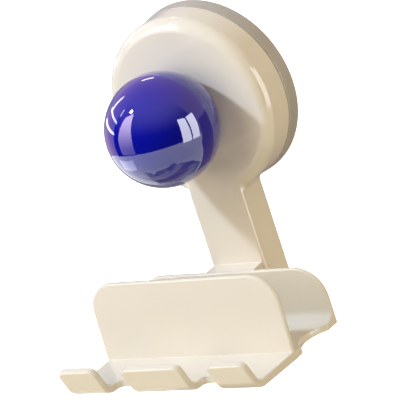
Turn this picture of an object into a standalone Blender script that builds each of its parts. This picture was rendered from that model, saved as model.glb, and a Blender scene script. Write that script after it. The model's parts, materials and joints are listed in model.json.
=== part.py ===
"""Suction cup wall shelf: a twist-lock suction mount, an arm and a hooked tray.

The wall is the plane Y = 0 and the shelf stands out of it towards -Y. The origin
is where the axis of the suction disc meets the wall, +X is to the right and +Z up.
Most sizes are given as a distance in front of the wall, which is -Y.
At rest the knob is screwed tight and the pad is drawn into a dish.
"""
import math

import bpy
import bmesh
from mathutils import Matrix

MM = 0.001
GRID = 0.0001 * MM
GAP = 0.3 * MM
RUNNING_GAP = 0.5 * MM
FLATNESS = math.radians(0.02)

# Suction pad, soft moulding that seals on the wall
PAD_RADIUS = 39.3 * MM
PAD_TOP_RADIUS = 38.8 * MM
PAD_BAND = 6.2 * MM
PAD_LIP_HEIGHT = 0.8 * MM
SEAL_WIDTH = 8.0 * MM
RIM_WIDTH = 8.6 * MM
MEMBRANE = 1.8 * MM
DRAW = 3.0 * MM
BOSS_RADIUS = 12.0 * MM
BOSS_LIP = 1.2 * MM

# Twist lock: stud, its collar in the pad, and the pressure ring
THREAD_RADIUS = 3.0 * MM
THREAD_PITCH = 1.0 * MM
STUD_HEAD_RADIUS = 5.0 * MM
STUD_HEAD = 1.6 * MM
COLLAR_FLANGE_RADIUS = 8.5 * MM
COLLAR_FLANGE = 3.0 * MM
COLLAR_FLATS = 12.0 * MM
RING_PLATE = 2.0 * MM
RING_PLATE_FRONT = 14.5 * MM
RING_SKIRT = 3.4 * MM
RING_HUB_WALL = 3.2 * MM
SCREW_CIRCLE = 25.0 * MM
SCREW_COUNT = 4
SCREW_RADIUS = 1.3 * MM
SCREW_HEAD_RADIUS = 2.6 * MM
SCREW_HEAD = 1.7 * MM
SCREW_HEAD_CHAMFER = 0.4 * MM
SCREW_LENGTH = 7.0 * MM
SCREW_BOSS_WALL = 2.0 * MM

# Cover, the round shell that is moulded in one with the arm and the tray
COVER_RADIUS = 38.6 * MM
COVER_FRONT = 21.1 * MM
COVER_SHOULDER = 5.3 * MM
COVER_WALL = 2.2 * MM
HUB_BOSS_RADIUS = 15.0 * MM
HUB_BOSS = 2.0 * MM

# Thrust washer between the cover and the knob
WASHER_RADIUS = 12.2 * MM
WASHER = 1.4 * MM

# Ball knob, two lacquered shells round a trapped nut
BALL_RADIUS = 23.5 * MM
BALL_CENTRE = 39.8 * MM
BALL_WALL = 2.0 * MM
SPIGOT_DEPTH = 4.0 * MM
SPIGOT_WALL = 1.4 * MM
KNOB_BOSS_RADIUS = 9.0 * MM
KNOB_BOSS_FRONT = 35.5 * MM
NUT_FLATS = 10.0 * MM
NUT = 5.0 * MM
NUT_SEAT = 27.5 * MM
RETAINER = 1.2 * MM
STUD_TIP = 37.5 * MM
RIB_COUNT = 6
RIB_THICKNESS = 1.6 * MM

# Arm
ARM_WIDTH = 26.2 * MM
ARM_FILLET = 3.2 * MM
ARM_FILLET_INSET = 1.0 * MM
LEDGE_TOP = -67.7 * MM

# Tray
TRAY_WIDTH = 92.7 * MM
TRAY_BACK = 29.65 * MM
TRAY_WALL = 2.3 * MM
FLOOR = 3.9 * MM
FLOOR_TOP = -89.3 * MM
BACK_CORNER = 13.5 * MM
FRONT_WALL_FACE = 63.6 * MM
FRONT_WALL_TOP = -56.2 * MM
FRONT_WALL_SETBACK = 1.6 * MM
FRONT_CORNER = 12.5 * MM
NOTCH_RADIUS = 15.0 * MM
NOTCH_DEPTH = 6.3 * MM

# Hook strip in front of the tray
BEND_CENTRE = 85.4 * MM
BEND_RADIUS = 4.8 * MM
STRIP = 3.2 * MM
LIP_LEAN = math.radians(22.4)
LIP_LENGTH = 9.4 * MM
LIP_CORNER = 3.0 * MM
OUTER_LIP = 18.3 * MM
GAP_BETWEEN_LIPS = 13.7 * MM
GAP_END = 82.0 * MM
GAP_CORNER = 3.2 * MM

# Facets round a full turn
LARGE_ROUND_STEPS = 72
MEDIUM_ROUND_STEPS = 48
SMALL_ROUND_STEPS = 24
TINY_ROUND_STEPS = 16
FILLET_STEPS = 6
CORNER_STEPS = 8
BROAD_STEPS = 14

# Sizes that follow from the ones above
COVER_BACK = PAD_BAND + GAP
FACE_RADIUS = COVER_RADIUS - COVER_SHOULDER
CAVITY_RADIUS = COVER_RADIUS - COVER_WALL
CAVITY_FRONT = COVER_FRONT - COVER_WALL
HUB_BOSS_BACK = CAVITY_FRONT - HUB_BOSS
WASHER_BACK = COVER_FRONT - WASHER
STUD_HOLE_RADIUS = THREAD_RADIUS + RUNNING_GAP
KNOB_BACK = COVER_FRONT + GAP
POCKET_FLOOR = DRAW + MEMBRANE
COLLAR_BACK = POCKET_FLOOR + GAP
COLLAR_FLANGE_FRONT = COLLAR_BACK + COLLAR_FLANGE
BOSS_FRONT = COLLAR_FLANGE_FRONT + GAP + BOSS_LIP
COLLAR_TIP = HUB_BOSS_BACK - GAP
RING_HUB_BACK = BOSS_FRONT + GAP
RING_PLATE_BACK = RING_PLATE_FRONT - RING_PLATE
SCREW_BOSS_BACK = RING_PLATE_FRONT + GAP
HEX_CORNER = 1.0 / math.cos(math.pi / 6)
FLOOR_BOTTOM = FLOOR_TOP - FLOOR
HALF_TRAY = TRAY_WIDTH / 2
HALF_ARM = ARM_WIDTH / 2


# Rotation that points a local +Z out of the wall
OUT_OF_WALL = (math.pi / 2, 0, 0)


def clear_scene():
    for old in list(bpy.data.objects):
        bpy.data.objects.remove(old, do_unlink=True)


def new_collection(name):
    made = bpy.data.collections.new(name)
    bpy.context.scene.collection.children.link(made)
    return made


def new_material(name, colour, roughness, metallic=0.0):
    made = bpy.data.materials.new(name)
    made.use_nodes = True
    shader = made.node_tree.nodes["Principled BSDF"]
    shader.inputs["Base Color"].default_value = (*colour, 1.0)
    shader.inputs["Roughness"].default_value = roughness
    shader.inputs["Metallic"].default_value = metallic
    return made


def arc(centre, radius, start, end, steps):
    """Points on an arc, from the start angle to the end angle in degrees."""
    points = []
    for step in range(steps + 1):
        angle = math.radians(start + (end - start) * step / steps)
        points.append((centre[0] + radius * math.cos(angle), centre[1] + radius * math.sin(angle)))
    return points


def link(name, mesh, group, parent=None, rotation=(0, 0, 0), location=(0, 0, 0)):
    made = bpy.data.objects.new(name, mesh)
    group.objects.link(made)
    made.parent = parent
    made.rotation_euler = rotation
    made.location = location
    return made


def turned(name, profile, facets, group, parent, closed=True, location=(0, 0, 0)):
    """Turn a profile of (radius, distance out of the wall) round the local Z axis."""
    mesh = bpy.data.meshes.new(name)
    edges = [(i, i + 1) for i in range(len(profile) - 1)]
    if closed:
        edges.append((len(profile) - 1, 0))
    mesh.from_pydata([(radius, 0, height) for radius, height in profile], edges, [])
    made = link(name, mesh, group, parent, location=location)
    screw = made.modifiers.new("turn", "SCREW")
    screw.axis = "Z"
    screw.steps = facets
    screw.render_steps = facets
    screw.use_merge_vertices = True
    screw.merge_threshold = 0.00001
    return made


def settle(drawn, group):
    """Bake an object's modifiers and place into its mesh, on a grid of 0.1 micrometre.

    Faces that are meant to lie in one plane then lie in it exactly, and each flat is one face.
    """
    name = drawn.name
    bpy.context.view_layer.update()
    graph = bpy.context.evaluated_depsgraph_get()
    mesh = bpy.data.meshes.new_from_object(drawn.evaluated_get(graph))
    mesh.transform(drawn.matrix_world)
    for vertex in mesh.vertices:
        vertex.co = [round(value / GRID) * GRID for value in vertex.co]
    shape = bmesh.new()
    shape.from_mesh(mesh)
    bmesh.ops.remove_doubles(shape, verts=shape.verts, dist=GRID)
    bmesh.ops.recalc_face_normals(shape, faces=shape.faces)
    bmesh.ops.dissolve_limit(
        shape, angle_limit=FLATNESS, verts=shape.verts, edges=shape.edges, use_dissolve_boundaries=False
    )
    shape.to_mesh(mesh)
    shape.free()
    bpy.data.objects.remove(drawn, do_unlink=True)
    return link(name, mesh, group)


def flat_outline(name, outline, thickness, group, rotation, location=(0, 0, 0)):
    """A filled outline with a thickness, centred on its own plane, made a mesh."""
    curve = bpy.data.curves.new(name, "CURVE")
    curve.dimensions = "2D"
    curve.fill_mode = "BOTH"
    curve.extrude = thickness / 2
    spline = curve.splines.new("POLY")
    spline.points.add(len(outline) - 1)
    for point, (across, up) in zip(spline.points, outline):
        point.co = (across, up, 0, 1)
    spline.use_cyclic_u = True
    return settle(link(name, curve, group, rotation=rotation, location=location), group)


def block(name, low, high, group):
    """A box between two corners, in world coordinates."""
    shape = bmesh.new()
    bmesh.ops.create_cube(shape, size=1.0)
    size = [b - a for a, b in zip(low, high)]
    centre = [(a + b) / 2 for a, b in zip(low, high)]
    bmesh.ops.transform(shape, matrix=Matrix.Diagonal((*size, 1)), verts=shape.verts)
    mesh = bpy.data.meshes.new(name)
    shape.to_mesh(mesh)
    shape.free()
    return settle(link(name, mesh, group, location=centre), group)


def prism(name, radius, back, front, facets, group, parent, turn=0.0, centre=(0, 0)):
    """A cylinder or a hexagon between two distances from the wall."""
    shape = bmesh.new()
    bmesh.ops.create_cone(
        shape, cap_ends=True, segments=facets, radius1=radius, radius2=radius, depth=front - back
    )
    mesh = bpy.data.meshes.new(name)
    shape.to_mesh(mesh)
    shape.free()
    place = (centre[0], centre[1], (back + front) / 2)
    return link(name, mesh, group, parent, rotation=(0, 0, turn), location=place)


def joined(name, parts, group):
    """Several closed guides that don't touch, kept as one object of separate shells."""
    bpy.context.view_layer.update()
    shape = bmesh.new()
    for part in parts:
        mesh = part.data
        mesh.transform(part.matrix_world)
        shape.from_mesh(mesh)
        bpy.data.objects.remove(part, do_unlink=True)
    mesh = bpy.data.meshes.new(name)
    shape.to_mesh(mesh)
    shape.free()
    return settle(link(name, mesh, group), group)


def combine(target, tool, operation, solver="EXACT"):
    step = target.modifiers.new(tool.name, "BOOLEAN")
    step.object = tool
    step.operation = operation
    step.solver = solver
    tool.hide_render = True
    tool.display_type = "WIRE"


def finish(piece, material, sharp=30.0):
    """Give the piece its material and shade its round faces smooth."""
    piece.data.materials.clear()
    piece.data.materials.append(material)
    for step in piece.modifiers:
        if step.type == "SCREW":
            step.use_smooth_shade = True
    if piece.data.polygons:
        piece.data.shade_smooth()
        piece.data.set_sharp_from_angle(angle=math.radians(sharp))


def world_place(x, out, z):
    """World place of a point given by its distance in front of the wall."""
    return (x, -out, z)


def cover_solid(group, axis):
    """The round cover without its cavity: washer recess, flat face, shoulder and side."""
    recess_floor = WASHER_BACK - GAP
    recess_radius = WASHER_RADIUS + GAP
    profile = [
        (0, recess_floor),
        (recess_radius, recess_floor),
        (recess_radius, COVER_FRONT),
        *arc((FACE_RADIUS, COVER_FRONT - COVER_SHOULDER), COVER_SHOULDER, 90, 0, CORNER_STEPS),
        (COVER_RADIUS, COVER_BACK),
        (0, COVER_BACK),
    ]
    return settle(turned("shelf_body", profile, LARGE_ROUND_STEPS, group, axis, closed=False), group)


def arm_block(tools):
    """Arm from the cover down to the tray floor, with fillets where it leaves the disc."""
    joint_radius = COVER_RADIUS - ARM_FILLET_INSET
    reach = joint_radius + ARM_FILLET
    side = HALF_ARM + ARM_FILLET
    drop = math.sqrt(reach**2 - side**2)
    inward = math.degrees(math.atan2(drop, side))
    right = arc((side, -drop), ARM_FILLET, 180 - inward, 180, FILLET_STEPS)
    inner = arc((0, 0), joint_radius - ARM_FILLET_INSET / 2, -inward, inward - 180, BROAD_STEPS)
    left = [(-x, z) for x, z in reversed(right)]
    outline = [*right, (HALF_ARM, FLOOR_BOTTOM), (-HALF_ARM, FLOOR_BOTTOM), *left, *reversed(inner)]
    depth = COVER_FRONT - COVER_BACK
    middle = world_place(0, (COVER_FRONT + COVER_BACK) / 2, 0)
    return flat_outline("arm_block", outline, depth, tools, OUT_OF_WALL, middle)


def arm_channel(tools):
    """Hollow of the arm, open at the back, with its top just below the cover's side."""
    inside = HALF_ARM - COVER_WALL
    top_radius = COVER_RADIUS + COVER_WALL / 2
    angle = math.degrees(math.acos(inside / top_radius))
    top = arc((0, 0), top_radius, -angle, angle - 180, CORNER_STEPS)
    outline = [*top, (-inside, FLOOR_BOTTOM + COVER_WALL), (inside, FLOOR_BOTTOM + COVER_WALL)]
    depth = CAVITY_FRONT
    middle = world_place(0, CAVITY_FRONT / 2, 0)
    return flat_outline("arm_channel", outline, depth, tools, OUT_OF_WALL, middle)


def ledge_block(tools):
    """Box that carries the tray in front of the arm's lower end."""
    return block(
        "ledge_block",
        world_place(-HALF_ARM, TRAY_BACK + TRAY_WALL / 2, FLOOR_BOTTOM),
        world_place(HALF_ARM, COVER_BACK + COVER_WALL, LEDGE_TOP),
        tools,
    )


def ledge_hollow(tools):
    inside = HALF_ARM - COVER_WALL
    return block(
        "ledge_hollow",
        world_place(-inside, TRAY_BACK, FLOOR_BOTTOM + COVER_WALL),
        world_place(inside, 0, LEDGE_TOP - COVER_WALL),
        tools,
    )


def tray_profile():
    """Side view of walls, floor, hook strip and lips, as (distance out, height)."""
    back_wall = [
        (TRAY_BACK, LEDGE_TOP),
        (TRAY_BACK + TRAY_WALL, LEDGE_TOP),
        (TRAY_BACK + TRAY_WALL, FLOOR_TOP),
    ]
    lean = FRONT_WALL_SETBACK
    front_wall = [
        (FRONT_WALL_FACE - TRAY_WALL, FLOOR_TOP),
        (FRONT_WALL_FACE - TRAY_WALL - lean, FRONT_WALL_TOP),
        (FRONT_WALL_FACE - lean, FRONT_WALL_TOP),
        (FRONT_WALL_FACE, FLOOR_TOP),
    ]
    sweep = 90 - math.degrees(LIP_LEAN)
    centre = (BEND_CENTRE, FLOOR_TOP + BEND_RADIUS)
    inner = arc(centre, BEND_RADIUS, -90, sweep - 90, FILLET_STEPS)
    outer = arc(centre, BEND_RADIUS + STRIP, sweep - 90, -90, FILLET_STEPS)
    along = (math.sin(LIP_LEAN) * LIP_LENGTH, math.cos(LIP_LEAN) * LIP_LENGTH)
    inner_tip = (inner[-1][0] + along[0], inner[-1][1] + along[1])
    outer_tip = (outer[0][0] + along[0], outer[0][1] + along[1])
    underside = [(FRONT_WALL_FACE, FLOOR_BOTTOM), (TRAY_BACK, FLOOR_BOTTOM)]
    return [*back_wall, *front_wall, *inner, inner_tip, outer_tip, *outer, *underside]


def tray_block(tools):
    side_on = (math.pi / 2, 0, -math.pi / 2)
    return flat_outline("tray_block", tray_profile(), TRAY_WIDTH, tools, side_on)


def corner_outline(radius, side, beyond):
    """What a round corner leaves off, from the centre of its arc; side is 1 or -1."""
    shape = [*arc((0, 0), radius, 0, 90, CORNER_STEPS), (0, beyond), (beyond, beyond), (beyond, 0)]
    return [(side * across, rise) for across, rise in shape]


def wall_corners(tools):
    """Cutters that round the two upper corners of each tray wall."""
    front_middle = FRONT_WALL_FACE - (TRAY_WALL + FRONT_WALL_SETBACK) / 2
    walls = [
        (LEDGE_TOP, BACK_CORNER, TRAY_BACK + TRAY_WALL / 2),
        (FRONT_WALL_TOP, FRONT_CORNER, front_middle),
    ]
    cuts = []
    for top, radius, out in walls:
        for side in (-1, 1):
            shape = corner_outline(radius, side, 2 * radius)
            place = world_place(side * (HALF_TRAY - radius), out, top - radius)
            cuts.append(flat_outline("corner", shape, 3 * TRAY_WALL, tools, OUT_OF_WALL, place))
    return joined("wall_corners", cuts, tools)


def lip_gaps(tools):
    """U-shaped gaps that part the strip's edge into three hooks."""
    beyond = BEND_CENTRE + BEND_RADIUS + STRIP + LIP_LENGTH
    half = GAP_BETWEEN_LIPS / 2
    outline = [(half, beyond), (-half, beyond)]
    outline += arc((GAP_CORNER - half, GAP_END + GAP_CORNER), GAP_CORNER, 180, 270, FILLET_STEPS)
    outline += arc((half - GAP_CORNER, GAP_END + GAP_CORNER), GAP_CORNER, 270, 360, FILLET_STEPS)
    centre = HALF_TRAY - OUTER_LIP - half
    height = 4 * (LIP_LENGTH + STRIP)
    cuts = []
    for side in (-1, 1):
        mirrored = [(x, -out) for x, out in outline]
        cuts.append(
            flat_outline("gap", mirrored, height, tools, (0, 0, 0), (side * centre, 0, FLOOR_TOP))
        )
    return joined("lip_gaps", cuts, tools)


def lip_corners(tools):
    """Cutters that round the two upper corners of each hook."""
    sweep = math.pi / 2 - LIP_LEAN
    reach = BEND_RADIUS + STRIP / 2
    up = LIP_LENGTH - LIP_CORNER
    out = BEND_CENTRE + reach * math.sin(sweep) + up * math.sin(LIP_LEAN)
    height = FLOOR_TOP + BEND_RADIUS - reach * math.cos(sweep) + up * math.cos(LIP_LEAN)
    middle = HALF_TRAY - OUTER_LIP - GAP_BETWEEN_LIPS
    edges = [(HALF_TRAY, 1), (HALF_TRAY - OUTER_LIP, -1), (middle, 1)]
    edges += [(-x, -side) for x, side in edges]
    tilt = (math.pi / 2 + LIP_LEAN, 0, 0)
    cuts = []
    for x, side in edges:
        shape = corner_outline(LIP_CORNER, side, 2 * LIP_CORNER)
        place = world_place(x - side * LIP_CORNER, out, height)
        cuts.append(flat_outline("corner", shape, 4 * STRIP, tools, tilt, place))
    return joined("lip_corners", cuts, tools)


def floor_notches(tools):
    """Round bites out of the tray floor's two ends, behind the front wall."""
    chord = math.sqrt(NOTCH_RADIUS**2 - (NOTCH_RADIUS - NOTCH_DEPTH) ** 2)
    out = TRAY_BACK + TRAY_WALL + chord
    across = HALF_TRAY + NOTCH_RADIUS - NOTCH_DEPTH
    cuts = []
    for side in (-1, 1):
        last = 360 - 360 / LARGE_ROUND_STEPS
        outline = arc((side * across, -out), NOTCH_RADIUS, 0, last, LARGE_ROUND_STEPS - 1)
        cuts.append(flat_outline("notch", outline, 3 * FLOOR, tools, (0, 0, 0), (0, 0, FLOOR_BOTTOM)))
    return joined("floor_notches", cuts, tools)


def screw_places():
    places = []
    for index in range(SCREW_COUNT):
        angle = 2 * math.pi * (index + 0.5) / SCREW_COUNT
        places.append((SCREW_CIRCLE * math.cos(angle), SCREW_CIRCLE * math.sin(angle)))
    return places


def cover_cavity(tools, axis):
    """Hollow of the cover, round its hub boss and its four screw bosses."""
    profile = [
        (0, HUB_BOSS_BACK),
        (HUB_BOSS_RADIUS, HUB_BOSS_BACK),
        (HUB_BOSS_RADIUS, CAVITY_FRONT),
        (CAVITY_RADIUS, CAVITY_FRONT),
        (CAVITY_RADIUS, 0),
        (0, 0),
    ]
    hollow = turned("cavity", profile, LARGE_ROUND_STEPS, tools, axis, closed=False)
    radius = SCREW_RADIUS + SCREW_BOSS_WALL
    for place in screw_places():
        boss = prism(
            "boss", radius, SCREW_BOSS_BACK, COVER_FRONT, SMALL_ROUND_STEPS, tools, axis, centre=place
        )
        combine(hollow, boss, "DIFFERENCE")
    return settle(hollow, tools)


def make_shelf_body(group, tools, axis, material):
    body = cover_solid(group, axis)
    combine(body, arm_block(tools), "UNION")
    combine(body, ledge_block(tools), "UNION")
    combine(body, tray_block(tools), "UNION")
    combine(body, cover_cavity(tools, axis), "DIFFERENCE")
    combine(body, arm_channel(tools), "DIFFERENCE")
    combine(body, ledge_hollow(tools), "DIFFERENCE")
    body = settle(body, group)

    behind = HUB_BOSS_BACK - COVER_WALL
    holes = [prism("stud_hole", STUD_HOLE_RADIUS, behind, COVER_FRONT, SMALL_ROUND_STEPS, tools, axis)]
    tip = RING_PLATE_BACK + SCREW_LENGTH
    for place in screw_places():
        holes.append(
            prism("hole", SCREW_RADIUS + GAP, RING_PLATE_BACK, tip, TINY_ROUND_STEPS, tools, axis, centre=place)
        )
    combine(body, joined("holes", holes, tools), "DIFFERENCE", "MANIFOLD")

    combine(body, wall_corners(tools), "DIFFERENCE")
    combine(body, lip_gaps(tools), "DIFFERENCE")
    combine(body, lip_corners(tools), "DIFFERENCE")
    combine(body, floor_notches(tools), "DIFFERENCE")
    finish(body, material)
    return body


def make_pad(group, axis, material):
    """Soft disc: flat sealing ring, band, dished membrane and a socket for the collar."""
    rim_inner = PAD_TOP_RADIUS - RIM_WIDTH
    seal_inner = PAD_RADIUS - SEAL_WIDTH
    pocket_radius = COLLAR_FLANGE_RADIUS + GAP
    mouth_radius = COLLAR_FLATS / 2 * HEX_CORNER + GAP
    profile = [
        (0, POCKET_FLOOR),
        (pocket_radius, POCKET_FLOOR),
        (pocket_radius, COLLAR_FLANGE_FRONT + GAP),
        (mouth_radius, COLLAR_FLANGE_FRONT + GAP),
        (mouth_radius, BOSS_FRONT),
        (BOSS_RADIUS, BOSS_FRONT),
        (BOSS_RADIUS, POCKET_FLOOR),
        (rim_inner, MEMBRANE),
        (rim_inner, PAD_BAND),
        (PAD_TOP_RADIUS, PAD_BAND),
        (PAD_RADIUS, PAD_LIP_HEIGHT),
        (PAD_RADIUS, 0),
        (seal_inner, 0),
        (BOSS_RADIUS, DRAW),
        (0, DRAW),
    ]
    pad = turned("suction_pad", profile, LARGE_ROUND_STEPS, group, axis, closed=False)
    finish(pad, material)
    return pad


def make_collar(group, tools, stem, material):
    """Nylon collar that holds the stud's head in the pad and slides in the ring's hex."""
    flats = COLLAR_FLATS / 2 * HEX_CORNER
    collar = prism(
        "stem_collar", COLLAR_FLANGE_RADIUS, COLLAR_BACK, COLLAR_FLANGE_FRONT, MEDIUM_ROUND_STEPS, group, stem
    )
    stem_hex = prism(
        "collar_hex", flats, COLLAR_BACK + COLLAR_FLANGE / 2, COLLAR_TIP, 6, tools, stem
    )
    combine(collar, stem_hex, "UNION")
    head_room = prism(
        "head_room",
        STUD_HEAD_RADIUS + GAP,
        COLLAR_BACK - COLLAR_FLANGE,
        COLLAR_BACK + STUD_HEAD + GAP,
        SMALL_ROUND_STEPS,
        tools,
        stem,
    )
    combine(collar, head_room, "DIFFERENCE")
    bore = prism(
        "collar_bore", THREAD_RADIUS + GAP, COLLAR_BACK, COLLAR_TIP + GAP, SMALL_ROUND_STEPS, tools, stem
    )
    combine(collar, bore, "DIFFERENCE")
    finish(collar, material)
    return collar


def make_stud(group, stem, material):
    """Steel stud with a flat round head, run out through cover, washer and nut."""
    profile = [
        (0, STUD_TIP),
        (THREAD_RADIUS - THREAD_PITCH, STUD_TIP),
        (THREAD_RADIUS, STUD_TIP - THREAD_PITCH),
        (THREAD_RADIUS, COLLAR_BACK + STUD_HEAD),
        (STUD_HEAD_RADIUS, COLLAR_BACK + STUD_HEAD),
        (STUD_HEAD_RADIUS, COLLAR_BACK),
        (0, COLLAR_BACK),
    ]
    stud = turned("stem_stud", profile, SMALL_ROUND_STEPS, group, stem, closed=False)
    finish(stud, material)
    return stud


def make_pressure_ring(group, tools, axis, material):
    """Inner cup that presses the pad's rim and guides the collar."""
    outer = CAVITY_RADIUS - GAP
    hub_outer = COLLAR_FLATS / 2 * HEX_CORNER + RUNNING_GAP + RING_HUB_WALL
    centre = THREAD_RADIUS
    profile = [
        (centre, COLLAR_TIP),
        (hub_outer, COLLAR_TIP),
        (hub_outer, RING_PLATE_FRONT),
        (outer, RING_PLATE_FRONT),
        (outer, COVER_BACK),
        (outer - RING_SKIRT, COVER_BACK),
        (outer - RING_SKIRT, RING_PLATE_BACK),
        (hub_outer, RING_PLATE_BACK),
        (hub_outer, RING_HUB_BACK),
        (centre, RING_HUB_BACK),
    ]
    ring = turned("pressure_ring", profile, LARGE_ROUND_STEPS, group, axis)
    behind = RING_HUB_BACK - RING_PLATE
    beyond = COLLAR_TIP + RING_PLATE
    hex_radius = (COLLAR_FLATS / 2 + RUNNING_GAP) * HEX_CORNER
    combine(ring, prism("ring_hex", hex_radius, behind, beyond, 6, tools, axis), "DIFFERENCE")
    holes = []
    for place in screw_places():
        holes.append(
            prism("hole", SCREW_RADIUS + GAP, behind, beyond, TINY_ROUND_STEPS, tools, axis, centre=place)
        )
    combine(ring, joined("ring_holes", holes, tools), "DIFFERENCE")
    finish(ring, material)
    return ring


def make_ring_screws(group, axis, material):
    """Self-tapping screws that hold the pressure ring to the cover's bosses."""
    seat = RING_PLATE_BACK - GAP
    tip = seat + SCREW_LENGTH - GAP
    profile = [
        (0, tip),
        (SCREW_RADIUS, tip - SCREW_RADIUS),
        (SCREW_RADIUS, seat),
        (SCREW_HEAD_RADIUS, seat),
        (SCREW_HEAD_RADIUS, seat - SCREW_HEAD + SCREW_HEAD_CHAMFER),
        (SCREW_HEAD_RADIUS - SCREW_HEAD_CHAMFER, seat - SCREW_HEAD),
        (0, seat - SCREW_HEAD),
    ]
    for number, place in enumerate(screw_places(), 1):
        name = f"ring_screw_{number}"
        screw = turned(name, profile, TINY_ROUND_STEPS, group, axis, closed=False, location=(*place, 0))
        finish(screw, material)


def make_washer(group, axis, material):
    """Slippery washer that the knob turns on, set in the cover's recess."""
    profile = [
        (STUD_HOLE_RADIUS, WASHER),
        (WASHER_RADIUS, WASHER),
        (WASHER_RADIUS, 0),
        (STUD_HOLE_RADIUS, 0),
    ]
    washer = turned("thrust_washer", profile, MEDIUM_ROUND_STEPS, group, axis, location=(0, 0, WASHER_BACK))
    finish(washer, material)
    return washer


def make_rear_shell(group, tools, knob, material):
    """Rear half of the ball: shell, flat back and the boss that holds the nut."""
    parting = BALL_CENTRE - GAP / 2
    inner_radius = BALL_RADIUS - BALL_WALL
    back_angle = math.degrees(math.asin((BALL_CENTRE - KNOB_BACK) / BALL_RADIUS))
    floor = KNOB_BACK + BALL_WALL
    floor_angle = math.degrees(math.asin((BALL_CENTRE - floor) / inner_radius))
    start = -math.degrees(math.asin(GAP / 2 / BALL_RADIUS))
    outer = arc((0, BALL_CENTRE), BALL_RADIUS, start, -back_angle, CORNER_STEPS)
    inner = arc((0, BALL_CENTRE), inner_radius, -floor_angle, start, FILLET_STEPS)
    profile = [
        *outer,
        (STUD_HOLE_RADIUS / 2, KNOB_BACK),
        (STUD_HOLE_RADIUS / 2, floor),
        *inner,
    ]
    shell = settle(turned("knob_rear_shell", profile, MEDIUM_ROUND_STEPS, group, knob), group)
    shell.parent = knob
    shell.matrix_parent_inverse = knob.matrix_world.inverted()
    boss = prism(
        "knob_boss", KNOB_BOSS_RADIUS, floor - BALL_WALL / 2, KNOB_BOSS_FRONT, MEDIUM_ROUND_STEPS, tools, knob
    )
    ribs = []
    rib_front = parting - SPIGOT_DEPTH - 2 * GAP
    rib_back = floor - BALL_WALL / 2
    middle = BALL_RADIUS - BALL_WALL / 2
    low = math.degrees(math.asin((BALL_CENTRE - rib_back) / middle))
    high = math.degrees(math.asin((BALL_CENTRE - rib_front) / middle))
    for index in range(RIB_COUNT):
        angle = 2 * math.pi * index / RIB_COUNT
        outline = [
            (KNOB_BOSS_RADIUS / 2, rib_back),
            *arc((0, BALL_CENTRE), middle, -low, -high, FILLET_STEPS),
            (KNOB_BOSS_RADIUS / 2, rib_front),
        ]
        ribs.append(flat_outline("rib", outline, RIB_THICKNESS, tools, (math.pi, -angle, 0)))
    combine(shell, settle(boss, tools), "UNION")
    for rib in ribs:
        combine(shell, rib, "UNION")
    pocket_radius = (NUT_FLATS / 2 + GAP) * HEX_CORNER
    beyond = KNOB_BOSS_FRONT + BALL_WALL
    combine(shell, prism("nut_pocket", pocket_radius, NUT_SEAT, beyond, 6, tools, knob), "DIFFERENCE")
    bore = prism(
        "knob_bore", STUD_HOLE_RADIUS, KNOB_BACK - BALL_WALL, beyond, SMALL_ROUND_STEPS, tools, knob
    )
    combine(shell, bore, "DIFFERENCE")
    finish(shell, material)
    return shell


def make_front_shell(group, knob, material):
    """Front half of the ball with the spigot that locates it in the rear half."""
    inner_radius = BALL_RADIUS - BALL_WALL
    start = math.degrees(math.asin(GAP / 2 / BALL_RADIUS))
    parting = BALL_CENTRE + GAP / 2
    spigot_outer = inner_radius - GAP
    spigot_inner = spigot_outer - SPIGOT_WALL
    spigot_back = parting - SPIGOT_DEPTH
    rear_room = math.sqrt((inner_radius - GAP) ** 2 - SPIGOT_DEPTH**2)
    outer = arc((0, BALL_CENTRE), BALL_RADIUS, 90, start, BROAD_STEPS)
    inner_start = math.degrees(math.acos(spigot_inner / inner_radius))
    inner = arc((0, BALL_CENTRE), inner_radius, inner_start, 90, FILLET_STEPS)
    profile = [
        *outer,
        (spigot_outer, parting),
        (rear_room, spigot_back),
        (rear_room - SPIGOT_WALL, spigot_back),
        *inner,
    ]
    profile[0] = (0, BALL_CENTRE + BALL_RADIUS)
    profile[-1] = (0, BALL_CENTRE + inner_radius)
    shell = turned("knob_front_shell", profile, MEDIUM_ROUND_STEPS, group, knob, closed=False)
    finish(shell, material)
    return shell


def make_nut(group, tools, knob, material):
    nut = prism(
        "knob_nut", NUT_FLATS / 2 * HEX_CORNER, NUT_SEAT + GAP, NUT_SEAT + GAP + NUT, 6, group, knob
    )
    bore = prism(
        "nut_bore", THREAD_RADIUS + GAP, NUT_SEAT, NUT_SEAT + NUT * 2, SMALL_ROUND_STEPS, tools, knob
    )
    combine(nut, bore, "DIFFERENCE")
    finish(nut, material)
    return nut


def make_retainer(group, tools, knob, material):
    """Hexagonal cap pressed over the nut in the mouth of its pocket."""
    back = NUT_SEAT + NUT + 2 * GAP
    cap = prism("nut_retainer", NUT_FLATS / 2 * HEX_CORNER, back, back + RETAINER, 6, group, knob)
    bore = prism(
        "retainer_bore", STUD_HOLE_RADIUS, back - GAP, back + 2 * RETAINER, SMALL_ROUND_STEPS, tools, knob
    )
    combine(cap, bore, "DIFFERENCE")
    finish(cap, material)
    return cap


clear_scene()
shelf = new_collection("suction_cup_wall_shelf")
cutters = new_collection("cutters_and_guides")

disc_axis = link("disc_axis", None, shelf, rotation=OUT_OF_WALL)
knob_axis = link("knob_axis", None, shelf, rotation=OUT_OF_WALL)
stem_axis = link("stem_axis", None, shelf, rotation=OUT_OF_WALL)
bpy.context.view_layer.update()

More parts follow.
